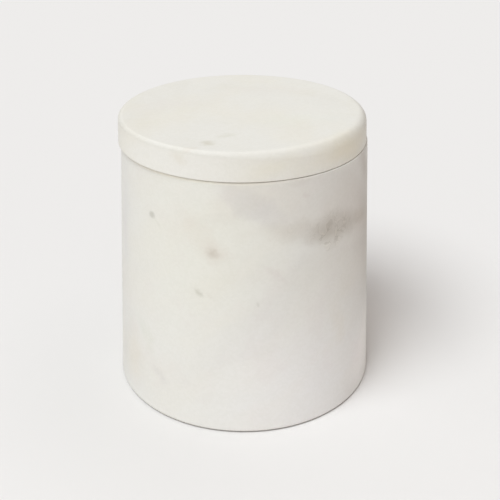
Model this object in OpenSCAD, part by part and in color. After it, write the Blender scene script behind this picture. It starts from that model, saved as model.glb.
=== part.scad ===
// Stone cream jar: a turned marble shell with a drop-in cup, a sealing disc and a slab lid.
// Millimetres, +Z up. The origin is on the jar's axis, on the surface that it stands on.

/* [Stone body] */
// Outside diameter of the turned body
body_d = 96; // [84:0.5:120]
// Height of the body's rim above the table
rim_z = 89.4; // [80:0.1:120]
// Thickness of the stone wall
wall_t = 9; // [8:0.5:12]
// Thickness of the stone under the hollow
base_t = 11; // [8:0.5:14]
// Radius left by the core drill between the hollow's wall and floor
floor_round = 2.5; // [1:0.5:3]
// Easing of the outside edge at the foot of the body
base_ease = 1; // [0.4:0.1:2]
// Easing of the rim's outside edge
rim_ease = 0.6; // [0.3:0.1:1]
// Easing of the rim's inside edge
mouth_ease = 0.8; // [0.3:0.1:1.2]

/* [Lid] */
// Diameter of the lid's slab
slab_d = 96.8; // [84:0.1:121]
// Thickness of the lid's slab
slab_t = 10.2; // [8:0.1:14]
// How far the slab was ground off the register's axis, along X
slab_offset = -0.8; // [-1:0.1:1]
// Easing of the slab's top edge
slab_top_ease = 2.4; // [0.5:0.1:3]
// Easing of the slab's bottom edge
slab_low_ease = 0.4; // [0.3:0.1:1.2]
// Depth of the register that drops into the mouth
register_h = 6; // [5:0.5:8]
// Radial play between the register and the hollow
register_gap = 0.6; // [0.5:0.1:1]

/* [Gasket] */
// Thickness of the gasket's flange, which is the seam under the slab
flange_t = 0.4; // [0.3:0.1:1]
// Distance from the hollow's wall to the flange's outside edge
flange_w = 8.2; // [3:0.1:8.2]
// Depth of the groove cut in the register
groove_depth = 1.8; // [1.2:0.1:2.2]
// Height of the gasket's sleeve
sleeve_h = 3.5; // [3:0.1:4]
// Radius of the two ribs that wipe the hollow's wall
rib_r = 0.42; // [0.3:0.01:0.45]

/* [Cup] */
// Distance from the stone rim down to the cup's rim
cup_drop = 13; // [12:0.5:16]
// Wall thickness of the moulded cup
cup_wall = 1.7; // [1.2:0.1:2.5]
// Draft of the cup's wall, in degrees
cup_draft = 0.8; // [0.4:0.1:1.2]
// Radial play between the cup's rim and the stone
cup_gap = 0.3; // [0.2:0.1:0.6]
// Height of the ring that the cup stands on
cup_foot_h = 0.8; // [0.5:0.1:1.2]

/* [Sealing disc] */
// Thickness of the disc
disc_t = 1.2; // [1:0.1:2]
// Depth of the skirt that plugs the cup
skirt_h = 3; // [2:0.5:5]
// Length of the pinch grip
grip_l = 26; // [18:1:34]
// Thickness of the pinch grip
grip_t = 1.8; // [1.4:0.1:2.5]

/* [Feet] */
// Diameter of a bumper foot
foot_d = 10; // [8:0.5:12]
// How far a foot stands out of its seat
foot_proud = 0.3; // [0.3:0.1:1.5]
// Depth of the drilled seat of a foot
seat_depth = 1; // [0.6:0.1:2]
// Distance from the jar's axis to the middle of a foot
foot_at_r = 36; // [20:1:36]

/* [Hidden] */
$fn = 120;

FEET = 4;
FIRST_FOOT = 45;     // degrees round from +X
SEAT_GAP = 0.15;     // a foot to the wall of its seat
TURN_GAP = 0.05;     // gasket to the walls of its groove
SKIRT_GAP = 0.15;    // disc's skirt to the cup
SKIRT_T = 1;
PAST = 0.5;          // how far a cutting shape runs past what it cuts

body_r = body_d / 2;
bore_r = body_r - wall_t;
floor_z = foot_proud + base_t;
slab_z = rim_z + flange_t;
register_r = bore_r - register_gap;
groove_r = register_r - groove_depth;
groove_h = sleeve_h + 2 * TURN_GAP;

cup_rim_z = rim_z - cup_drop;
cup_rim_r = bore_r - cup_gap;
cup_lip_w = 1.2;
cup_lip_h = 2.4;
cup_floor_z = floor_z + cup_foot_h;
cup_r_top = cup_rim_r - cup_lip_w;
cup_r_low = cup_r_top - (cup_rim_z - cup_floor_z) * tan(cup_draft);
cup_round = 4;
disc_z = cup_rim_z;
skirt_r = cup_r_top - cup_wall - skirt_h * tan(cup_draft) - SKIRT_GAP;

// The waste outside a rounded corner of radius r; the corner points up and out from the origin.
module corner_waste(r) {
    difference() {
        square(r + PAST);
        circle(r);
    }
}

// Takes the corner at [x, y] of a half section down to radius r.
// out is +1 for a corner that faces away from the axis, up is +1 for one that faces up.
module ease_at(x, y, r, out = 1, up = 1) {
    translate([x - out * r, y - up * r])
        mirror([out < 0 ? 1 : 0, 0])
            mirror([0, up < 0 ? 1 : 0])
                corner_waste(r);
}

// A ring with a rectangular section between two radii and two heights.
module ring_section(r_in, r_out, z_low, z_high) {
    translate([r_in, z_low])
        square([r_out - r_in, z_high - z_low]);
}

// Where the feet and their seats lie.
module at_foot(i) {
    rotate(FIRST_FOOT + i * 360 / FEET)
        translate([foot_at_r, 0, 0])
            children();
}

// Marble shell: a cylinder with a core-drilled hollow and four shallow seats in its base.
module jar_body() {
    color([0.91, 0.90, 0.87])
        difference() {
            rotate_extrude()
                difference() {
                    ring_section(0, body_r, foot_proud, rim_z);
                    ease_at(body_r, foot_proud, base_ease, 1, -1);
                    ease_at(body_r, rim_z, rim_ease);
                    difference() {
                        ring_section(-PAST, bore_r, floor_z, rim_z + PAST);
                        ease_at(bore_r, floor_z, floor_round, 1, -1);
                    }
                    ease_at(bore_r, rim_z, mouth_ease, -1, 1);
                }
            for (i = [0 : FEET - 1])
                at_foot(i)
                    translate([0, 0, -PAST])
                        cylinder(d = foot_d + 2 * SEAT_GAP, h = foot_proud + seat_depth + PAST);
        }
}

// Half outline of a drafted tub that is round at its foot, from r_low at z_low up to z_high.
function tub_outline(r_low, z_low, z_high, round_r) = concat(
    [[0, z_low]],
    [for (a = [-90 : 89 / 8 : -1]) [r_low - round_r + round_r * cos(a), z_low + round_r + round_r * sin(a)]],
    [[r_low + (z_high - z_low) * tan(cup_draft), z_high], [0, z_high]]
);

// Moulded cup that holds the cream: it drops into the stone and stands on a ring on the floor.
module liner_cup() {
    lip_z = cup_rim_z - cup_lip_h;
    ring_r = cup_r_low - cup_round;
    color([0.95, 0.95, 0.93])
        rotate_extrude()
            difference() {
                union() {
                    polygon(tub_outline(cup_r_low, cup_floor_z, cup_rim_z, cup_round));
                    ring_section(cup_r_top - cup_wall, cup_rim_r, lip_z, cup_rim_z);
                    ring_section(ring_r - 2, ring_r, floor_z, cup_floor_z + PAST);
                }
                translate([0, cup_wall])
                    polygon(tub_outline(cup_r_low - cup_wall, cup_floor_z, cup_rim_z, cup_round - cup_wall));
                ease_at(cup_rim_r, cup_rim_z, 0.8);
                ease_at(cup_rim_r, lip_z, 0.5, 1, -1);
            }
}

// Moulded disc that plugs the cup, with a grip to pinch in the middle.
module sealing_disc() {
    grip_h = 5.4;
    bead_r = 1.4;
    color([0.96, 0.96, 0.95]) {
        rotate_extrude()
            difference() {
                union() {
                    ring_section(0, cup_rim_r, disc_z, disc_z + disc_t);
                    ring_section(skirt_r - SKIRT_T, skirt_r, disc_z - skirt_h, disc_z + PAST);
                }
                ease_at(cup_rim_r, disc_z + disc_t, 0.4);
                ease_at(skirt_r, disc_z - skirt_h, 0.4, 1, -1);
            }
        translate([-grip_l / 2, -grip_t / 2, disc_z + PAST])
            cube([grip_l, grip_t, disc_t - PAST + grip_h - bead_r]);
        translate([0, 0, disc_z + disc_t + grip_h - bead_r]) {
            rotate([0, 90, 0])
                cylinder(r = bead_r, h = grip_l, center = true);
            for (side = [-1, 1])
                translate([side * grip_l / 2, 0, 0])
                    sphere(r = bead_r);
        }
    }
}

// Silicone gasket: a sleeve in the register's groove and a thin flange under the slab.
module lid_gasket() {
    sleeve_r = groove_r + TURN_GAP;
    sleeve_out = bore_r - 0.5;
    color([0.80, 0.76, 0.68])
        rotate_extrude()
            union() {
                ring_section(sleeve_r, sleeve_out, slab_z - sleeve_h, slab_z);
                ring_section(sleeve_r, bore_r + flange_w, rim_z, slab_z);
                for (z = [1.1, 2.4])
                    translate([sleeve_out, slab_z - sleeve_h + z])
                        circle(r = rib_r);
            }
}

// Marble lid: a slab with a register turned on its underside, grooved for the gasket.
module lid() {
    slab_r = slab_d / 2;
    color([0.92, 0.90, 0.85])
        union() {
            translate([slab_offset, 0, 0])
                rotate_extrude()
                    difference() {
                        ring_section(0, slab_r, slab_z, slab_z + slab_t);
                        ease_at(slab_r, slab_z + slab_t, slab_top_ease);
                        ease_at(slab_r, slab_z, slab_low_ease, 1, -1);
                    }
            rotate_extrude()
                difference() {
                    ring_section(0, register_r, slab_z - register_h, slab_z + PAST);
                    ring_section(groove_r, register_r + PAST, slab_z - groove_h, slab_z + 2 * PAST);
                    ease_at(register_r, slab_z - register_h, 0.8, 1, -1);
                }
        }
}

// Silicone bumper: a low button in its seat, eased where it meets the table.
module foot() {
    color([0.86, 0.86, 0.84])
        rotate_extrude()
            difference() {
                ring_section(0, foot_d / 2, 0, foot_proud + seat_depth);
                ease_at(foot_d / 2, 0, 0.3, 1, -1);
            }
}

jar_body();
liner_cup();
sealing_disc();
lid_gasket();
lid();
for (i = [0 : FEET - 1])
    at_foot(i) foot();
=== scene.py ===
import math

import bmesh
import bpy
from mathutils import Matrix, Vector, noise


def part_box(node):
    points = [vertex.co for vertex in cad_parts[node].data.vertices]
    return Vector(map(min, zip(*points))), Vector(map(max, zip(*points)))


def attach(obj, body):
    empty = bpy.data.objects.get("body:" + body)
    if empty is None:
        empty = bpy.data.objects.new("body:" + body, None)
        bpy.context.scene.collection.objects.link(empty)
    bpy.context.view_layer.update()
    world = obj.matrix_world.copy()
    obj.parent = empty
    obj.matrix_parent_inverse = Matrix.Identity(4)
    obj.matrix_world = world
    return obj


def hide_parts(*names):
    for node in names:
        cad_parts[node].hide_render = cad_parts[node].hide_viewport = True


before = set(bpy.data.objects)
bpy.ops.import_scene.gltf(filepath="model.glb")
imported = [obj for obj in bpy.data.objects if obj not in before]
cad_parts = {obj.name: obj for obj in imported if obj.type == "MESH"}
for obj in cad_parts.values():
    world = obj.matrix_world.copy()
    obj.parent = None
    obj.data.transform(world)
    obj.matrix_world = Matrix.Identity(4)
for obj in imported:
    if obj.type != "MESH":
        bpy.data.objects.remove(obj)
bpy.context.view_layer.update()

# ---------------------------------------------------------------------------------------------
# Camera
# A product photographer's view camera on a tripod, a little above the lid and close to the jar.
# Its film back stands almost upright while the lens looks down, so the jar's sides stay parallel.
# ---------------------------------------------------------------------------------------------
film_tilt = math.radians(3.5)
lens_drop = math.radians(21.83)

tripod = bpy.data.objects.new("tripod", None)
tripod.location = (0.0022, -0.380, 0.2229)
tripod.rotation_euler = (math.pi / 2 - film_tilt, 0, 0)
bpy.context.scene.collection.objects.link(tripod)

camera = bpy.data.objects.new("camera", bpy.data.cameras.new("camera"))
camera.data.lens = 76.54
camera.data.sensor_width = 36
camera.parent = tripod
camera.matrix_parent_inverse = Matrix((
    (1, 0, 0, 0),
    (0, 1, math.sin(lens_drop), 0),
    (0, 0, math.cos(lens_drop), 0),
    (0, 0, 0, 1),
))
bpy.context.scene.collection.objects.link(camera)
bpy.context.scene.camera = camera

# ---------------------------------------------------------------------------------------------
# Stone body
# A block of white marble, turned on a lathe, core-drilled from the top and honed with fine grit.
# Its edges are eased by hand, and four shallow seats are drilled in its base for the feet.
# ---------------------------------------------------------------------------------------------
MM = 0.001
FINE = 360               # columns round a piece of stone
MOULDED = 240            # columns round a moulded piece


def arc(centre, radius, start, end, steps=7):
    """Points round an arc in a half section, from one angle to another in degrees."""
    angles = [math.radians(start + (end - start) * i / steps) for i in range(steps + 1)]
    return [(centre[0] + radius * math.cos(a), centre[1] + radius * math.sin(a)) for a in angles]


def run(start, end, step=4.0, guard=0.2):
    """Points strictly between two others, with one close to each end to keep the flats flat."""
    start, end = Vector(start), Vector(end)
    length = (end - start).length
    count = max(1, round(length / step))
    shares = [guard / length, *[i / count for i in range(1, count)], 1 - guard / length]
    return [tuple(start.lerp(end, s)) for s in shares]


def wander(angle, seed, turns=2.0):
    """A slow, smooth value from -1 to 1 that closes on itself round the jar."""
    return noise.noise(Vector((turns * math.cos(angle), turns * math.sin(angle), seed)))


def settle(piece, crease=32):
    """Makes a mesh smooth apart from its sharp edges, with its faces looking outwards."""
    shape = bmesh.new()
    shape.from_mesh(piece.data)
    bmesh.ops.recalc_face_normals(shape, faces=shape.faces)
    for face in shape.faces:
        face.smooth = True
    for edge in shape.edges:
        edge.smooth = edge.calc_face_angle(0) < math.radians(crease)
    shape.to_mesh(piece.data)
    shape.free()


def new_piece(name, shape):
    """Turns a bmesh into an object in the scene."""
    piece = bpy.data.objects.new(name, bpy.data.meshes.new(name))
    shape.to_mesh(piece.data)
    shape.free()
    bpy.context.scene.collection.objects.link(piece)
    settle(piece)
    return piece


def lathe(name, outline, segments=FINE, closed=False, centre=(0, 0)):
    """Turns outline(angle) into a mesh. It lists (radius, height) or (radius, height, x of the axis) in
    mm. A radius of 0 is one point on the axis, and a closed outline runs back to its first point."""
    shape = bmesh.new()
    columns = [outline(math.tau * i / segments) for i in range(segments)]
    rings = []
    for k, first in enumerate(columns[0]):
        ring = []
        for i in range(1 if first[0] == 0 else segments):
            radius, height, *off = columns[i][k]
            angle = math.tau * i / segments
            x = centre[0] + sum(off) + radius * math.cos(angle)
            y = centre[1] + radius * math.sin(angle)
            ring.append(shape.verts.new((x * MM, y * MM, height * MM)))
        rings.append(ring)
    pairs = list(zip(rings, rings[1:]))
    if closed:
        pairs.append((rings[-1], rings[0]))
    for low, high in pairs:
        for i in range(segments):
            j = (i + 1) % segments
            corners = [low[i % len(low)], low[j % len(low)], high[j % len(high)], high[i % len(high)]]
            shape.faces.new(list(dict.fromkeys(corners)))
    return new_piece(name, shape)


def combine(piece, others, operation="DIFFERENCE"):
    """Cuts other pieces out of this one, or joins them on, and removes them."""
    for other in others:
        change = piece.modifiers.new(other.name, "BOOLEAN")
        change.object = other
        change.operation = operation
        change.solver = "EXACT"
    made = bpy.data.meshes.new_from_object(piece.evaluated_get(bpy.context.evaluated_depsgraph_get()))
    made.materials.clear()
    piece.modifiers.clear()
    piece.data = made
    for other in others:
        bpy.data.objects.remove(other)
    settle(piece)


body_low, body_high = [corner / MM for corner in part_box("jar_body")]
body_r = body_high.x
base_z = body_low.z
rim_z = body_high.z
wall_t = 9
base_t = 11
bore_r = body_r - wall_t
hollow_floor_z = base_z + base_t
lid_top_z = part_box("lid")[1].z / MM

foot_boxes = [[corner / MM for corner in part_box(f"foot_{i}")] for i in (1, 2, 3, 4)]
foot_places = [((low.x + high.x) / 2, (low.y + high.y) / 2) for low, high in foot_boxes]
foot_low, foot_high = foot_boxes[0]
foot_r = (foot_high.x - foot_low.x) / 2
foot_top = foot_high.z
seat_r = foot_r + 0.15


def body_outline(angle):
    """Half section of the shell. The eases vary a little, because they are rubbed down by hand."""
    base_ease = 0.8 + 0.12 * wander(angle, 1.3)
    rim_ease = 0.36 + 0.08 * wander(angle, 5.1, 3.0)
    mouth_ease = 0.8 + 0.1 * wander(angle, 8.4)
    floor_round = 2.5
    return [
        (0, base_z),
        *run((1, base_z), (body_r - base_ease, base_z)),
        *arc((body_r - base_ease, base_z + base_ease), base_ease, -90, 0),
        *run((body_r, base_z + base_ease), (body_r, rim_z - rim_ease)),
        *arc((body_r - rim_ease, rim_z - rim_ease), rim_ease, 0, 90),
        *run((body_r - rim_ease, rim_z), (bore_r + mouth_ease, rim_z)),
        *arc((bore_r + mouth_ease, rim_z - mouth_ease), mouth_ease, 90, 180),
        *run((bore_r, rim_z - mouth_ease), (bore_r, hollow_floor_z + floor_round)),
        *arc((bore_r - floor_round, hollow_floor_z + floor_round), floor_round, 0, -90),
        *run((bore_r - floor_round, hollow_floor_z), (1, hollow_floor_z)),
        (0, hollow_floor_z),
    ]


def seat_outline(angle):
    """Half section of the drill that cuts a foot's seat."""
    below = base_z - 1
    return [(0, below), (seat_r, below), (seat_r, foot_top), (0, foot_top)]


body = lathe("stone_body", body_outline)
combine(body, [lathe(f"seat_{i}", seat_outline, 48, centre=xy) for i, xy in enumerate(foot_places)])


def put(tree, kind, inputs=(), **settings):
    """Places a shader node. Its inputs are a list in socket order or a dict by name, and may be sockets."""
    placed = tree.nodes.new("ShaderNode" + kind)
    for setting, value in settings.items():
        setattr(placed, setting, value)
    for key, value in inputs.items() if isinstance(inputs, dict) else enumerate(inputs):
        if isinstance(value, bpy.types.NodeSocket):
            tree.links.new(value, placed.inputs[key])
        else:
            placed.inputs[key].default_value = value
    return placed


def maths(tree, operation, *values):
    """One Math node's result."""
    return put(tree, "Math", values, operation=operation).outputs[0]


def vectors(tree, operation, *values):
    """One Vector Math node's vector result."""
    return put(tree, "VectorMath", values, operation=operation).outputs["Vector"]


def measured(tree, operation, *values):
    """One Vector Math node's number, such as a length or a dot product."""
    return put(tree, "VectorMath", values, operation=operation).outputs["Value"]


def scaled(tree, vector, amount):
    """A vector times a number."""
    return put(tree, "VectorMath", {0: vector, "Scale": amount}, operation="SCALE").outputs["Vector"]


def ramp(tree, value, start, end, low=0.0, high=1.0):
    """Takes a value from start..end smoothly to low..high, and holds it there outside."""
    made = put(tree, "MapRange", {"Value": value, "From Min": start, "From Max": end, "To Min": low,
                                  "To Max": high}, interpolation_type="SMOOTHSTEP")
    return made.outputs["Result"]


def tinted(tree, colour, mask, tint):
    """Multiplies a colour by a tint where the mask is 1."""
    mix = put(tree, "Mix", data_type="RGBA", blend_type="MULTIPLY")
    for key, value in ((0, mask), (6, colour), (7, (*tint, 1))):
        if isinstance(value, bpy.types.NodeSocket):
            tree.links.new(value, mix.inputs[key])
        else:
            mix.inputs[key].default_value = value
    return mix.outputs[2]


def new_group(name, inputs, outputs):
    """A node group with named sockets. Its inputs map names to defaults, and its outputs are numbers."""
    tree = bpy.data.node_groups.new(name, "ShaderNodeTree")
    for label, default in inputs.items():
        kind = "NodeSocketFloat" if isinstance(default, float) else "NodeSocketVector"
        tree.interface.new_socket(label, in_out="INPUT", socket_type=kind).default_value = default
    for label in outputs:
        tree.interface.new_socket(label, in_out="OUTPUT", socket_type="NodeSocketFloat")
    return tree, tree.nodes.new("NodeGroupInput").outputs, tree.nodes.new("NodeGroupOutput")


def close_group(tree, group_output, results):
    """Links the results of a group to its outputs."""
    for label, socket in results.items():
        tree.links.new(socket, group_output.inputs[label])


def place(tree, group, **inputs):
    """Places a node group in a material, with its own values."""
    placed = put(tree, "Group", node_tree=group)
    for label, value in inputs.items():
        socket = placed.inputs[label.replace("_", " ")]
        if isinstance(value, bpy.types.NodeSocket):
            tree.links.new(value, socket)
        else:
            socket.default_value = value
    return placed.outputs


def unrolled(tree, position, radius, axis_x):
    """A point's place on a round wall laid flat: along it from the front to the right, out of it, and up."""
    position = vectors(tree, "SUBTRACT", position, (axis_x, 0, 0))
    parts = put(tree, "SeparateXYZ", [position]).outputs
    turn = maths(tree, "ARCTAN2", parts["X"], maths(tree, "MULTIPLY", parts["Y"], -1.0))
    along = maths(tree, "MULTIPLY", turn, radius)
    from_axis = measured(tree, "LENGTH", vectors(tree, "MULTIPLY", position, (1, 1, 0)))
    out_of_wall = maths(tree, "SUBTRACT", from_axis, radius)
    return put(tree, "CombineXYZ", [along, out_of_wall, parts["Z"]]).outputs[0]


def make_stone_patch():
    """A ragged patch, used for marks in the stone and for painted light and shade: an ellipsoid round a
    centre, long along one direction.
    """
    tree, given, out = new_group(
        "stone patch",
        {"Position": (0, 0, 0), "Place": (0, 0, 0), "Centre": (0, 0, 0), "Lie": (1, 0, 0),
         "Length": 0.01, "Width": 0.005, "Ragged": 0.5, "Softness": 1.0},
        ["Mask"])
    swirl = put(tree, "TexNoise", {"Vector": given["Position"], "Detail": 3.0, "Roughness": 0.6,
                                   "Scale": maths(tree, "DIVIDE", 0.55, given["Width"])})
    centred = vectors(tree, "SUBTRACT", swirl.outputs["Color"], (0.5, 0.5, 0.5))
    reach = maths(tree, "MULTIPLY", maths(tree, "MULTIPLY", given["Width"], given["Ragged"]), 4.0)
    pushed = vectors(tree, "ADD", given["Place"], scaled(tree, centred, reach))
    offset = vectors(tree, "SUBTRACT", pushed, given["Centre"])
    along = measured(tree, "DOT_PRODUCT", offset, given["Lie"])
    aside = measured(tree, "LENGTH", vectors(tree, "SUBTRACT", offset, scaled(tree, given["Lie"], along)))
    far = maths(tree, "DIVIDE", along, given["Length"])
    wide = maths(tree, "DIVIDE", aside, given["Width"])
    squares = maths(tree, "ADD", maths(tree, "MULTIPLY", far, far), maths(tree, "MULTIPLY", wide, wide))
    distance = maths(tree, "SQRT", squares)
    solid_until = maths(tree, "SUBTRACT", 1.0, given["Softness"])
    close_group(tree, out, {"Mask": ramp(tree, distance, 1.0, solid_until)})
    return tree


def make_stone_bed():
    """The block's own figure: clouds along its bedding, pencil-fine threads, and slow shifts of tone."""
    tree, given, out = new_group("stone bed", {"Position": (0, 0, 0), "Block": (0, 0, 0)},
                                 ["Cloud", "Thread", "Glint", "Warmth", "Blush"])
    moved = vectors(tree, "ADD", given["Position"], given["Block"])
    turned = put(tree, "VectorRotate", {"Vector": moved, "Axis": (0.25, 1.0, 0.1), "Angle": 0.55})
    bedded = vectors(tree, "MULTIPLY", turned.outputs[0], (1.0, 1.0, 2.2))
    big = put(tree, "TexNoise", {"Vector": bedded, "Scale": 17.0, "Detail": 4.0, "Roughness": 0.55,
                                 "Distortion": 0.6})
    scribble = put(tree, "TexNoise", {"Vector": moved, "Scale": 190.0, "Detail": 1.5, "Roughness": 0.5,
                                      "Distortion": 1.5})
    dark = maths(tree, "ABSOLUTE", maths(tree, "SUBTRACT", scribble.outputs["Fac"], 0.5))
    light = maths(tree, "ABSOLUTE", maths(tree, "SUBTRACT", scribble.outputs["Fac"], 0.58))
    warm = put(tree, "TexNoise", {"Vector": vectors(tree, "ADD", bedded, (0.3, 0.1, 0.7)), "Scale": 30.0,
                                  "Detail": 3.0, "Roughness": 0.5})
    blush = put(tree, "TexNoise", {"Vector": vectors(tree, "ADD", moved, (0.9, 0.4, 0.2)), "Scale": 65.0,
                                   "Detail": 3.0, "Roughness": 0.55})
    close_group(tree, out, {"Cloud": ramp(tree, big.outputs["Fac"], 0.55, 0.8),
                            "Thread": ramp(tree, dark, 0.04, 0.0),
                            "Glint": ramp(tree, light, 0.04, 0.0),
                            "Warmth": ramp(tree, warm.outputs["Fac"], 0.4, 0.7),
                            "Blush": ramp(tree, blush.outputs["Fac"], 0.48, 0.72)})
    return tree


def make_stone_grain():
    """Sugar-like crystals nearly a millimetre across, and the fine tooth that honing leaves."""
    tree, given, out = new_group("stone grain", {"Position": (0, 0, 0)}, ["Fleck", "Tooth", "Dullness"])
    crystals = put(tree, "TexVoronoi", {"Vector": given["Position"], "Scale": 1100.0, "Randomness": 1.0})
    shade = put(tree, "SeparateColor", [crystals.outputs["Color"]]).outputs[0]
    coarse = put(tree, "TexNoise", {"Vector": given["Position"], "Scale": 380.0, "Detail": 4.0,
                                    "Roughness": 0.65})
    fine = put(tree, "TexNoise", {"Vector": given["Position"], "Scale": 2600.0, "Detail": 2.0})
    fleck = maths(tree, "ADD", maths(tree, "MULTIPLY", shade, 0.5),
                  maths(tree, "MULTIPLY", coarse.outputs["Fac"], 0.5))
    tooth = maths(tree, "ADD", maths(tree, "MULTIPLY", fine.outputs["Fac"], 0.6),
                  maths(tree, "MULTIPLY", shade, 0.4))
    rub = put(tree, "TexNoise", {"Vector": given["Position"], "Scale": 60.0, "Detail": 3.0})
    close_group(tree, out, {"Fleck": fleck, "Tooth": tooth,
                            "Dullness": ramp(tree, rub.outputs["Fac"], 0.3, 0.7)})
    return tree


stone_patch = make_stone_patch()
stone_bed = make_stone_bed()
stone_grain = make_stone_grain()


def marble(name, radius, axis_x, white, block, bed_tints, dullness, wall_marks_and_painted_light, top_marks=()):
    """Honed marble. A mark on the wall is placed by the degrees to the right of the front and its height,
    and one on top by x and y. Then come slope in degrees, half length, half width, raggedness, softness,
    tint, and how much the threads show in it. All lengths are in mm."""
    material = bpy.data.materials.new(name)
    material.use_nodes = True
    tree = material.node_tree
    position = put(tree, "TexCoord").outputs["Object"]
    wall = unrolled(tree, position, radius * MM, axis_x * MM)
    bed = place(tree, stone_bed, Position=position, Block=block)
    grain = place(tree, stone_grain, Position=position)
    colour = (*white, 1)
    for figure, tint in bed_tints.items():
        colour = tinted(tree, colour, bed[figure], tint)
    # Some of these marks are painted light or painted shade, tinted into the colour like the stone's own
    # figure.
    marks = []
    for turn, height, slope, *rest in wall_marks_and_painted_light:
        lie = (math.cos(math.radians(slope)), 0, math.sin(math.radians(slope)))
        marks.append((wall, Vector((radius * math.radians(turn), 0, height)) * MM, lie, *rest))
    for x, y, slope, *rest in top_marks:
        lie = (math.cos(math.radians(slope)), math.sin(math.radians(slope)), 0)
        marks.append((position, Vector((x, y, lid_top_z)) * MM, lie, *rest))
    thread_tints = {"Thread": (0.86, 0.85, 0.83), "Glint": (1.09, 1.09, 1.08)}
    for where, centre, lie, length, width, ragged, softness, tint, threads in marks:
        patch = place(tree, stone_patch, Position=position, Place=where, Centre=centre, Lie=lie,
                      Length=length * MM, Width=width * MM, Ragged=ragged, Softness=softness)["Mask"]
        colour = tinted(tree, colour, patch, tint)
        if threads:
            shown = maths(tree, "MULTIPLY", patch, threads)
            for figure, thread_tint in thread_tints.items():
                colour = tinted(tree, colour, maths(tree, "MULTIPLY", shown, bed[figure]), thread_tint)
    colour = tinted(tree, colour, ramp(tree, grain["Fleck"], 0.25, 0.75), (0.98, 0.98, 0.975))
    shader = tree.nodes["Principled BSDF"]
    roughness = ramp(tree, grain["Dullness"], 0.0, 1.0, dullness - 0.05, dullness + 0.05)
    tree.links.new(colour, shader.inputs["Base Color"])
    tree.links.new(roughness, shader.inputs["Roughness"])
    bump = put(tree, "Bump", {"Strength": 0.25, "Distance": 0.04 * MM, "Height": grain["Tooth"]})
    tree.links.new(bump.outputs["Normal"], shader.inputs["Normal"])
    shader.inputs["IOR"].default_value = 1.49
    shader.inputs["Specular IOR Level"].default_value = 0.2
    return material


# Marks in the stone, plus painted light and painted shade on the right side and round the rim.
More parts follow.
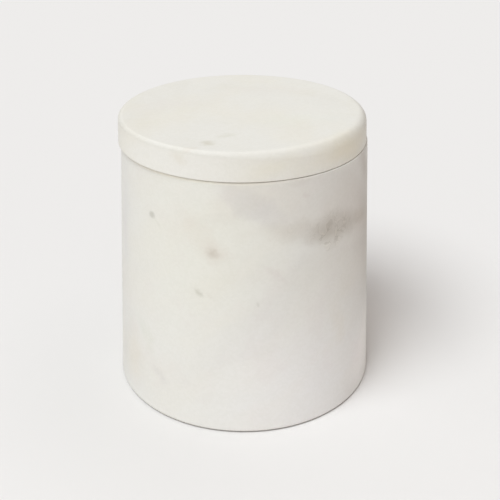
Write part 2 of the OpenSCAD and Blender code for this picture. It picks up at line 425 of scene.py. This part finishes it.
body_marks_and_painted_light = [
    (-22, 68.0, 80, 70, 48, 0.2, 1.0, (1.0, 1.0, 0.96), 0),             # creamier towards the upper left
    (42, 12.0, 0, 64, 46, 0.2, 1.0, (1.095, 1.093, 1.135), 0),          # painted light: whiter at the foot on the right
    (74, 11.0, 90, 27, 20, 0.2, 1.0, (1.17, 1.165, 1.17), 0),           # painted light: whiter still at the right edge
    (70, 84.0, -50, 14, 7, 0.3, 1.0, (0.85, 0.82, 0.80), 0),            # painted shade: a darker spot below the rim on the shaded right
    (60, 66.0, 90, 42, 32, 0.2, 1.0, (0.965, 0.94, 0.93), 0),           # painted shade, pinkish, all down the shaded right
    (-30, 88.9, 0, 60, 0.9, 0.05, 1.0, (1.14, 1.13, 1.09), 0),          # painted highlight: the rim's edge made pale
    (31, 83.5, -24, 54, 15, 0.2, 0.5, (0.95, 0.935, 0.93), 0),          # veil from the rim down to the right
    (4, 81.0, -27, 19, 6.5, 0.3, 0.75, (0.91, 0.90, 0.92), 0),          # head of the grey cloud
    (28, 70.0, -9, 22, 6.3, 0.3, 0.8, (0.885, 0.865, 0.85), 0.2),       # its middle
    (44, 68.2, -2, 17, 7.6, 0.25, 0.75, (0.84, 0.825, 0.805), 0.6),     # its dark heart, scribbled over
    (41, 64.6, -6, 9.5, 4.0, 0.5, 0.5, (0.96, 0.955, 0.945), 0.8),      # the scribble's foot
    (63, 66.0, -6, 12, 5.0, 0.4, 0.9, (0.92, 0.91, 0.89), 0.3),         # its tail
    (24, 88.0, 0, 7, 2.0, 0.4, 1.0, (0.955, 0.945, 0.94), 0),           # painted shade: a thin dark line under the lid
    (27, 83.0, -20, 2.2, 1.2, 0.5, 1.0, (0.94, 0.92, 0.92), 0),         # a faint mark in the veil
    (75, 57.0, 90, 38, 20, 0.2, 1.0, (0.865, 0.84, 0.825), 0),          # painted shade: a darker stretch on the shaded right
    (-43.6, 72.5, -15, 2.3, 1.8, 0.3, 0.7, (0.77, 0.77, 0.75), 0),      # a grey diamond
    (-40, 70.5, -45, 3.4, 1.0, 0.4, 1.0, (0.95, 0.95, 0.94), 0),        # its faint tail
    (-13.3, 63.8, -15, 3.4, 2.5, 0.4, 1.0, (0.845, 0.82, 0.80), 0),     # a pinkish-brown speck
    (-12, 63.5, -10, 8, 5.5, 0.5, 1.0, (0.95, 0.922, 0.912), 0),        # the blush round it
    (-17, 69.0, -50, 15, 7.0, 0.5, 1.0, (0.97, 0.95, 0.94), 0),         # pink drift above it
    (-19, 49.2, -30, 3.2, 1.5, 0.4, 0.9, (0.82, 0.82, 0.79), 0),        # a grey dash
    (-14, 48.5, -35, 3.0, 1.2, 0.5, 1.0, (0.96, 0.955, 0.945), 0),      # its smear
    (6, 46.0, -70, 1.5, 0.8, 0.3, 1.0, (0.90, 0.90, 0.885), 0),         # a tick
    (13, 56.5, -38, 8, 2.0, 0.4, 1.0, (0.965, 0.95, 0.955), 0),         # a faint pink streak
    (-40, 14.5, -30, 7, 3.5, 0.5, 1.0, (0.94, 0.94, 0.945), 0),         # a smoky patch at the foot
    (-48, 26.0, -55, 10, 5.0, 0.5, 1.0, (0.955, 0.965, 0.945), 0),      # greenish drift over it
    (-59, 15.0, 80, 18, 10.0, 0.5, 1.0, (0.99, 0.967, 0.935), 0),       # iron-yellow stain at the foot
    (-68, 62.0, 88, 30, 8.0, 0.3, 1.0, (0.965, 0.965, 0.985), 0),       # cool shade on the left
    (46, 32.0, -60, 12, 6.0, 0.4, 1.0, (0.985, 0.97, 0.945), 0),        # warm drift on the right
    (150, 58.0, -24, 30, 8.0, 0.4, 0.8, (0.87, 0.86, 0.855), 0.3),      # clouds on the far side
    (158, 54.5, -16, 9, 4.5, 0.4, 0.6, (0.86, 0.85, 0.825), 0.9),       # their dark heart
    (-130, 30.0, -28, 26, 7.0, 0.4, 0.9, (0.89, 0.88, 0.885), 0),       # a cloud low on the far left
    (-104, 62.0, -30, 3.0, 1.6, 0.4, 0.8, (0.80, 0.80, 0.78), 0),       # a grey speck
    (110, 28.0, -30, 3.4, 1.4, 0.4, 0.9, (0.82, 0.82, 0.80), 0),        # a grey dash
    (-165, 76.0, -25, 2.6, 1.8, 0.5, 0.9, (0.85, 0.83, 0.81), 0),       # a brown speck
]
body.data.materials.append(marble(
    "body marble", body_r, 0, white=(0.805, 0.79, 0.745), block=(0.21, 0.05, 0.13),
    bed_tints={"Cloud": (0.95, 0.945, 0.945), "Warmth": (1.0, 0.993, 0.98), "Blush": (0.99, 0.978, 0.982)},
    dullness=0.66, wall_marks_and_painted_light=body_marks_and_painted_light))
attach(body, "jar")
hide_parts("jar_body")

# ---------------------------------------------------------------------------------------------
# Feet
# Four clear silicone bumpers, moulded as low buttons and stuck into their seats with adhesive.
# They stand 0.3 mm proud and keep the stone off the shelf.
# ---------------------------------------------------------------------------------------------


def foot_outline(angle):
    """Half section of a button with a soft lower edge."""
    edge = 0.5
    return [
        (0, 0),
        *run((edge, 0), (foot_r - edge, 0), 1.2, 0.1),
        *arc((foot_r - edge, edge), edge, -90, 0, 5),
        *run((foot_r, edge), (foot_r, foot_top), 0.5, 0.1),
        (foot_r, foot_top), (0, foot_top),
    ]


def make_moulded_skin():
    """What a mould leaves on plastic or silicone: faint orange peel, flow marks and rubbed spots."""
    tree, given, out = new_group("moulded skin", {"Position": (0, 0, 0), "Size": 1.0},
                                 ["Peel", "Flow", "Rub"])
    sized = scaled(tree, given["Position"], given["Size"])
    peel = put(tree, "TexNoise", {"Vector": sized, "Scale": 900.0, "Detail": 3.0})
    flow = put(tree, "TexNoise", {"Vector": sized, "Scale": 45.0, "Detail": 2.0, "Distortion": 1.5})
    rub = put(tree, "TexNoise", {"Vector": sized, "Scale": 160.0, "Detail": 5.0, "Roughness": 0.7})
    close_group(tree, out, {"Peel": peel.outputs["Fac"],
                            "Flow": ramp(tree, flow.outputs["Fac"], 0.35, 0.65),
                            "Rub": ramp(tree, rub.outputs["Fac"], 0.45, 0.7)})
    return tree


moulded_skin = make_moulded_skin()


def moulded(name, colour, shade, dullness, size=1.0, bump_depth=0.02):
    """A moulded plastic or silicone: a colour with flow marks, and a skin that is rubbed in places."""
    material = bpy.data.materials.new(name)
    material.use_nodes = True
    tree = material.node_tree
    skin = place(tree, moulded_skin, Position=put(tree, "TexCoord").outputs["Object"], Size=size)
    shader = tree.nodes["Principled BSDF"]
    toned = tinted(tree, (*colour, 1), skin["Flow"], shade)
    rubbed = tinted(tree, toned, skin["Rub"], (0.975, 0.97, 0.96))
    tree.links.new(rubbed, shader.inputs["Base Color"])
    roughness = ramp(tree, skin["Rub"], 0.0, 1.0, dullness, dullness + 0.12)
    tree.links.new(roughness, shader.inputs["Roughness"])
    bump = put(tree, "Bump", {"Strength": 0.3, "Distance": bump_depth * MM, "Height": skin["Peel"]})
    tree.links.new(bump.outputs["Normal"], shader.inputs["Normal"])
    return material


foot_silicone = moulded("foot silicone", (0.72, 0.72, 0.69), (0.96, 0.96, 0.95), 0.35, 2.0)
for i, xy in enumerate(foot_places, 1):
    foot = lathe(f"foot_pad_{i}", foot_outline, 64, centre=xy)
    foot.data.materials.append(foot_silicone)
    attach(foot, "jar")
    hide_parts(f"foot_{i}")

# ---------------------------------------------------------------------------------------------
# Cup
# The cream's own container: a white polypropylene cup, injection-moulded with a slight draft and
# a rolled lip. It drops into the stone and stands on a ring under its floor.
# ---------------------------------------------------------------------------------------------
cup_low, cup_high = [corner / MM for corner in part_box("liner_cup")]
cup_lip_r = cup_high.x
cup_rim_z = cup_high.z
cup_wall = 1.7
cup_lip_w = 1.2
cup_lip_h = 2.4
cup_foot_h = 0.8
cup_foot_w = 2.0
cup_corner = 4.0
cup_slope = math.tan(math.radians(0.8))
cup_r_top = cup_lip_r - cup_lip_w
cup_r_low = cup_r_top - (cup_rim_z - cup_low.z - cup_foot_h) * cup_slope


def cup_outline(angle):
    """Half section of the cup: gate mark, standing ring, drafted wall, rolled lip and the inside."""
    floor_z = cup_low.z + cup_foot_h
    inner_floor_z = floor_z + cup_wall
    ring_r = cup_r_low - cup_corner
    ring_in = ring_r - cup_foot_w
    ring_edge = 0.3
    under_lip_z = cup_rim_z - cup_lip_h
    wall_r = cup_r_low + (under_lip_z - floor_z) * cup_slope
    inner_r = cup_r_low - cup_wall
    inner_top = cup_r_top - cup_wall
    inner_corner = cup_corner - cup_wall
    return [
        (0, floor_z - 0.3), (1.2, floor_z - 0.3), (1.5, floor_z),
        *run((1.5, floor_z), (ring_in - 0.2, floor_z)),
        (ring_in, floor_z - 0.2), (ring_in, cup_low.z + ring_edge),
        *arc((ring_in + ring_edge, cup_low.z + ring_edge), ring_edge, 180, 270, 3),
        *arc((ring_r - ring_edge, cup_low.z + ring_edge), ring_edge, -90, 0, 3),
        (ring_r, floor_z - 0.1),
        *arc((cup_r_low - cup_corner, floor_z + cup_corner), cup_corner, -89, -1, 10),
        *run((cup_r_low, floor_z + cup_corner), (wall_r, under_lip_z)),
        (wall_r + 0.3, under_lip_z),
        *arc((cup_lip_r - 0.5, under_lip_z + 0.5), 0.5, -90, 0, 4),
        *arc((cup_lip_r - 0.8, cup_rim_z - 0.8), 0.8, 0, 90, 6),
        *run((cup_lip_r - 0.8, cup_rim_z), (inner_top + 0.3, cup_rim_z), 1.0, 0.1),
        *arc((inner_top + 0.3, cup_rim_z - 0.3), 0.3, 90, 180, 3),
        *run((inner_top, cup_rim_z - 0.3), (inner_r, inner_floor_z + inner_corner)),
        *arc((inner_r - inner_corner, inner_floor_z + inner_corner), inner_corner, 0, -90),
        *run((inner_r - inner_corner, inner_floor_z), (1, inner_floor_z)),
        (0, inner_floor_z),
    ]


cup = lathe("cup", cup_outline, MOULDED)
cup.data.materials.append(moulded("cup plastic", (0.86, 0.86, 0.84), (0.985, 0.985, 0.98), 0.3))
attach(cup, "cup")
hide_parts("liner_cup")

# ---------------------------------------------------------------------------------------------
# Sealing disc
# A polyethylene disc that plugs the cup with a short skirt. A grip to pinch is moulded across its
# middle, and two raised rings keep the thin disc flat.
# ---------------------------------------------------------------------------------------------
disc_low, disc_high = [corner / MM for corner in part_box("sealing_disc")]
disc_r = disc_high.x
disc_t = 1.2
skirt_h = 3.0
skirt_t = 1.0
skirt_gap = 0.15
skirt_r = cup_r_top - cup_wall - skirt_h * cup_slope - skirt_gap
stiffener_rs = (31.0, 19.0)
stiffener_half = 0.7
grip_half = 13.0
bead_r = 1.4


def disc_outline(angle):
    """Half section of the disc with its skirt below and its two rings above."""
    low = disc_low.z + skirt_h
    top = low + disc_t
    outer, inner = stiffener_rs
    rings = []
    for ring_r in stiffener_rs:
        crown = arc((ring_r, top - 0.25), 0.6, 25, 155, 6)
        rings += [(ring_r + stiffener_half, top), *crown, (ring_r - stiffener_half, top)]
    skirt_in = skirt_r - skirt_t
    return [
        (0, low), *run((1, low), (skirt_in - 0.3, low)), (skirt_in, low - 0.3),
        (skirt_in, disc_low.z + 0.2), (skirt_in + 0.2, disc_low.z),
        *arc((skirt_r - 0.4, disc_low.z + 0.4), 0.4, -90, 0, 4),
        (skirt_r, low - 0.2), (skirt_r + 0.2, low),
        *run((skirt_r + 0.2, low), (disc_r - 0.2, low), 1.5, 0.1),
        *arc((disc_r - 0.2, low + 0.2), 0.2, -90, 0, 3),
        *arc((disc_r - 0.4, top - 0.4), 0.4, 0, 90, 4),
        *run((disc_r - 0.4, top), (outer + stiffener_half, top)),
        *rings,
        *run((inner - stiffener_half, top), (1, top)), (0, top),
    ]


def grip_blade(name):
    """The pinch grip: a blade with a round bead on top and a flared foot, narrowed towards both ends."""
    top = disc_low.z + skirt_h + disc_t
    bead_z = disc_high.z - bead_r
    half = [(2.4, top - 0.4), (1.5, top + 0.15), (1.05, top + 0.7), (0.9, top + 1.5), (0.9, bead_z - 1.5)]
    section = half + arc((0, bead_z), bead_r, -50, 230, 16) + [(-y, z) for y, z in reversed(half)]
    shape = bmesh.new()
    rings = []
    stations = 13
    for i in range(stations):
        turn = math.pi * (i / (stations - 1) - 0.5)
        x = (grip_half + bead_r * 0.98) * math.copysign(1 - (1 - abs(math.sin(turn))) ** 1.6, turn)
        narrow = max(0.05, math.cos(turn) ** 0.35)
        ring = []
        for y, z in section:
            lift = (z - bead_z) * (narrow if z > bead_z else 1)
            ring.append(shape.verts.new((x * MM, y * narrow * MM, (bead_z + lift) * MM)))
        rings.append(ring)
    for low, high in zip(rings, rings[1:]):
        for j in range(len(section)):
            k = (j + 1) % len(section)
            shape.faces.new((low[j], low[k], high[k], high[j]))
    shape.faces.new(rings[0])
    shape.faces.new(rings[-1])
    return new_piece(name, shape)


disc = lathe("disc", disc_outline, MOULDED)
combine(disc, [grip_blade("grip")], "UNION")
disc.data.materials.append(moulded("disc plastic", (0.84, 0.84, 0.83), (0.98, 0.98, 0.975), 0.4))
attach(disc, "disc")
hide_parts("sealing_disc")

# ---------------------------------------------------------------------------------------------
# Gasket
# A silicone ring pushed into the groove of the lid's register. Two ribs wipe the stone's wall, and
# its thin flange lies between slab and rim, where it shows as the fine warm line of the seam.
# ---------------------------------------------------------------------------------------------
gasket_low, gasket_high = [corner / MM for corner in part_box("lid_gasket")]
squeeze = 0.1                    # how much thinner the slab's weight makes the flange
slab_z = gasket_high.z - squeeze
register_gap = 0.6
groove_depth = 1.8
register_r = bore_r - register_gap
groove_r = register_r - groove_depth
sleeve_r = bore_r - 0.5


def gasket_outline(angle):
    """Section of the ring: sleeve with two ribs, and the flange."""
    rib = 0.42
    edge = 0.15
    rib_zs = [gasket_low.z + h for h in (1.1, 2.4)]
    ribs = [point for z in rib_zs for point in arc((sleeve_r, z), rib, -90, 90, 6)]
    inner_r = groove_r + 0.05
    flange_r = gasket_high.x
    return [
        (inner_r, gasket_low.z), (sleeve_r, gasket_low.z), *ribs, (sleeve_r, rim_z),
        *run((sleeve_r, rim_z), (flange_r - edge, rim_z), 1.5, 0.1),
        *arc((flange_r - edge, rim_z + edge), edge, -90, 0, 3),
        *arc((flange_r - edge, slab_z - edge), edge, 0, 90, 3),
        *run((flange_r - edge, slab_z), (inner_r, slab_z), 2.0, 0.1),
        (inner_r, slab_z),
    ]


gasket = lathe("gasket", gasket_outline, MOULDED, closed=True)
gasket.data.materials.append(moulded("gasket silicone", (0.84, 0.73, 0.60), (0.95, 0.94, 0.92), 0.45))
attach(gasket, "gasket")
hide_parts("lid_gasket")

# ---------------------------------------------------------------------------------------------
# Lid
# A disc sawn from a creamier slab of the same marble, ground round, eased by hand and honed. The
# register underneath is turned in a second set-up, so the slab runs a little off its axis.
# ---------------------------------------------------------------------------------------------
lid_low, lid_high = [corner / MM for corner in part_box("lid")]
slab_r = (lid_high.x - lid_low.x) / 2
slab_x = (lid_high.x + lid_low.x) / 2


def lid_outline(angle):
    """Half section from the register's face, over its groove, round the slab to the middle of the top.
    The top edge is rubbed round at the front right and left crisp at the front left."""
    well_rubbed = max(0, math.cos(angle - math.radians(-36))) ** 4
    crisp = max(0, math.cos(angle - math.radians(-128))) ** 3
    top_ease = 2.4 + 0.25 * wander(angle, 2.7) + 1.4 * well_rubbed - 1.3 * crisp
    low_ease = 0.22 + 0.04 * wander(angle, 6.2)
    register_ease = 0.8
    register_z = lid_low.z
    top_z = lid_high.z
    groove_z = gasket_low.z - 0.05
    lip_z = slab_z - 0.06
    under = [
        (0, register_z), *run((1, register_z), (register_r - register_ease, register_z)),
        *arc((register_r - register_ease, register_z + register_ease), register_ease, -90, 0, 5),
        (register_r, groove_z - 0.2), (register_r - 0.2, groove_z),
        (groove_r + 0.1, groove_z), (groove_r, groove_z + 0.1),
        (groove_r, slab_z - 0.1), (groove_r + 0.1, slab_z),
    ]
    slab = [
        (groove_r + 3, slab_z),
        *run((groove_r + 3, slab_z), (slab_r - 0.45, slab_z)),
        (slab_r - 0.4, lip_z),
        *arc((slab_r - low_ease, lip_z + low_ease), low_ease, -90, 0),
        *run((slab_r, lip_z + low_ease), (slab_r, top_z - top_ease)),
        *arc((slab_r - top_ease, top_z - top_ease), top_ease, 0, 90, 9),
        *run((slab_r - top_ease, top_z), (1, top_z)),
        (0, top_z),
    ]
    return [(*point, 0) for point in under] + [(*point, slab_x) for point in slab]


top_marks = [
    (-13.0, -38.5, 35, 4.6, 3.4, 0.5, 1.0, (0.87, 0.855, 0.81), 0),     # a brown smudge near the front
    (-6.5, -31.5, 40, 6.5, 3.6, 0.5, 1.0, (0.93, 0.93, 0.90), 0),       # its faint trail
    (-19.0, -43.5, 10, 6.0, 2.5, 0.5, 1.0, (0.97, 0.95, 0.93), 0),      # a rubbed patch in front of it
    (-32.0, 4.0, 20, 24, 9.0, 0.5, 1.0, (0.99, 0.98, 0.98), 0),         # pinkish drift
    (14.0, 24.0, -15, 30, 10.0, 0.5, 1.0, (0.99, 0.98, 0.975), 0),      # pinkish drift
    (20.0, -14.0, 10, 26, 10.0, 0.4, 1.0, (0.99, 1.0, 0.99), 0),        # greenish drift
]
side_marks_and_painted_light = [
    (42, 99.5, 0, 75, 2.8, 0.1, 1.0, (0.85, 0.845, 0.845), 0),          # painted shade on the eased edge, toning down its highlight
    (-62, 99.65, 0, 84, 1.9, 0.1, 1.0, (0.905, 0.905, 0.90), 0),        # painted shade on the crisp stretch of that edge
    (-66, 93.6, 0, 70, 6.5, 0.1, 1.0, (1.02, 1.025, 1.03), 0),          # painted light: a whiter side on the left
    (62, 93.6, 0, 70, 6.5, 0.1, 1.0, (1.04, 1.035, 1.03), 0),           # and painted light on the right
    (-27, 96.0, -15, 6, 3.5, 0.5, 1.0, (0.96, 0.945, 0.92), 0),         # a brownish blotch
    (12, 94.0, 0, 22, 8.0, 0.3, 1.0, (0.99, 0.985, 0.955), 0),          # cream band at the front
    (54, 95.0, 0, 24, 9.0, 0.3, 1.0, (0.995, 0.965, 0.90), 0),          # painted light: a warm yellow tinge on the right side
    (160, 94.0, -20, 16, 5.0, 0.4, 0.8, (0.94, 0.93, 0.91), 0.3),       # a cloud at the back
    (-120, 95.0, 15, 5, 2.5, 0.5, 1.0, (0.95, 0.94, 0.91), 0),          # a faint blotch on the far left
]
lid = lathe("stone_lid", lid_outline)
lid.data.materials.append(marble(
    "lid marble", slab_r, slab_x, white=(0.822, 0.80, 0.742), block=(0.47, 0.31, 0.08),
    bed_tints={"Cloud": (0.975, 0.97, 0.96), "Warmth": (1.0, 0.99, 0.965), "Blush": (0.99, 0.988, 0.975)},
    dullness=0.66, wall_marks_and_painted_light=side_marks_and_painted_light, top_marks=top_marks))
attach(lid, "lid_slab")
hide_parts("lid")

# ---------------------------------------------------------------------------------------------
# Floor and light
# A wide sheet of pale paper in front of a pale wall, a big soft key light from the front left, and a
# bright room that is lighter above and in front. The paper's colour holds painted shade at the front left
# of the jar, and painted light on the far right next to the base, inside the jar's shadow.
# ---------------------------------------------------------------------------------------------
floor_shape = bmesh.new()
bmesh.ops.create_grid(floor_shape, x_segments=1, y_segments=1, size=6)
floor = new_piece("floor", floor_shape)

paper = bpy.data.materials.new("paper")
paper.use_nodes = True
sheet = paper.node_tree
spot = put(sheet, "TexCoord").outputs["Object"]
bearing = vectors(sheet, "NORMALIZE", spot)
from_jar = measured(sheet, "LENGTH", spot)
paper_colour_and_painted_light = (0.83, 0.81, 0.79, 1)
painted_paper_light = [
    ((-0.62, -0.79, 0), 0.06, 0.130, 0.045, 0.885),     # painted shade at the front left: direction, spread, far, near, tone
    ((0.6, 0.8, 0), -0.3, 0.088, 0.056, 1.18),          # painted light in the shadow on the far right
]
for way, spread, far, near, tone in painted_paper_light:
    facing = maths(sheet, "ADD", measured(sheet, "DOT_PRODUCT", bearing, way), spread)
    facing.node.use_clamp = True
    toned = maths(sheet, "MULTIPLY", facing, ramp(sheet, from_jar, far, near))
    paper_colour_and_painted_light = tinted(sheet, paper_colour_and_painted_light, toned, (tone, tone, tone))
paper_shader = sheet.nodes["Principled BSDF"]
sheet.links.new(paper_colour_and_painted_light, paper_shader.inputs["Base Color"])
paper_shader.inputs["Roughness"].default_value = 0.9
paper_shader.inputs["Specular IOR Level"].default_value = 0.0
floor.data.materials.append(paper)

key = bpy.data.objects.new("key", bpy.data.lights.new("key", "SUN"))
key.data.energy = 2.15
key.data.angle = math.radians(35)
key.data.color = (0.945, 1.005, 1.05)
key.rotation_euler = Vector((-0.31, -0.42, 0.86)).to_track_quat("Z", "Y").to_euler()
bpy.context.scene.collection.objects.link(key)

world = bpy.data.worlds.new("world")
bpy.context.scene.world = world
world.use_nodes = True
room = world.node_tree
room_light = room.nodes["Background"]

looking = put(room, "TexCoord").outputs["Generated"]
ahead_and_up = measured(room, "DOT_PRODUCT", looking, (-0.05, -0.18, 0.43))
rightward = measured(room, "DOT_PRODUCT", looking, (0.95, 0.0, -0.3))
room_colour = tinted(room, (1.0, 0.955, 0.93, 1), ramp(room, rightward, -0.2, 0.9), (1.02, 0.95, 0.90))
room_strength = maths(room, "MAXIMUM", maths(room, "ADD", ahead_and_up, 0.19), 0.0)
room.links.new(room_colour, room_light.inputs["Color"])
room.links.new(room_strength, room_light.inputs["Strength"])

pale_wall = put(room, "Background", {"Color": (0.86, 0.85, 0.84, 1)}).outputs[0]
seen = put(room, "LightPath").outputs["Is Camera Ray"]
backed = put(room, "MixShader", [seen, room_light.outputs[0], pale_wall]).outputs[0]
room.links.new(backed, room.nodes["World Output"].inputs["Surface"])

bpy.context.scene.view_settings.view_transform = "Standard"
